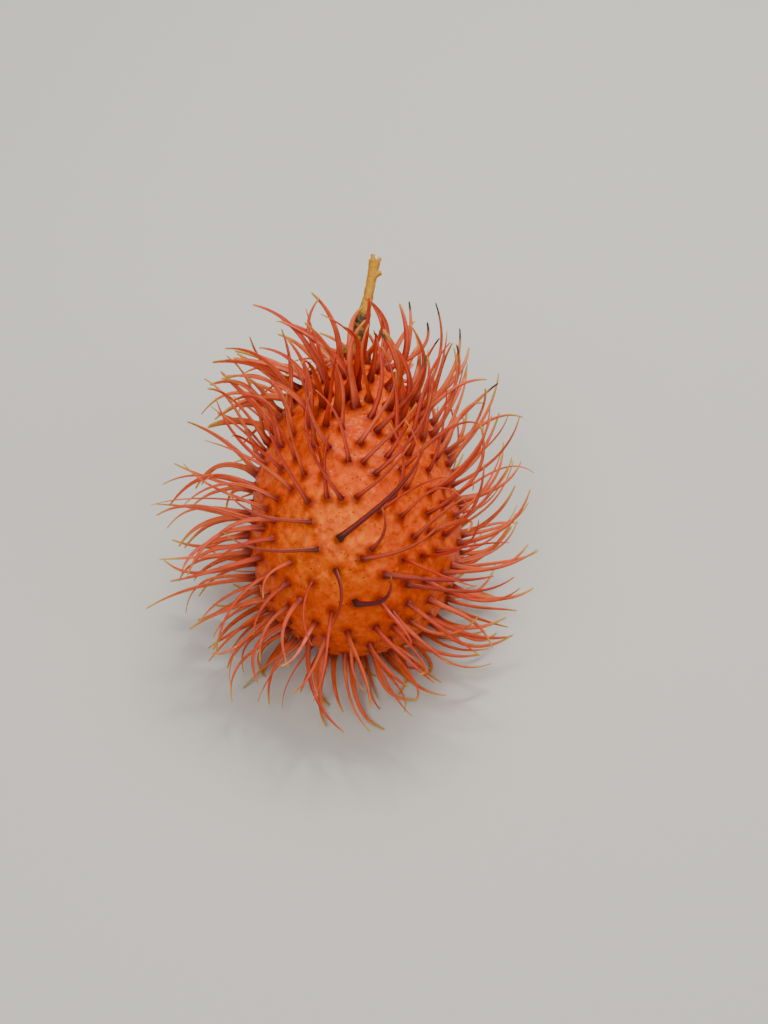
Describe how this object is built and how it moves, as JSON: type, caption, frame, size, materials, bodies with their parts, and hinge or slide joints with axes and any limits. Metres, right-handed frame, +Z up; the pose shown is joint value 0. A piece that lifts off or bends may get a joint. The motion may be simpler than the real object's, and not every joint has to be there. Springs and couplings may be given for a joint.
{
  "type": "rambutan fruit",
  "caption": "Egg-shaped rambutan with a pebbled orange-red rind covered in long curling soft spines, and a short broken woody stalk.",
  "frame": {"origin": "on the surface that the fruit lies on, under the centre of the whole object's box", "axes": "+Z up; +Y runs along the fruit towards its stem end, which is raised; +X to the right of someone looking along +Y"},
  "size_m": [0.0696, 0.0788, 0.0577],
  "materials": {
    "rind": "soft waxy sheen, pebbled, orange with redder spines and tan tips",
    "stalk": "matte, smooth ochre neck above a mottled dark brown bark"
  },
  "bodies": {
    "root": {"fruit": "rind", "stem": "stalk"}
  },
  "joints": []
}
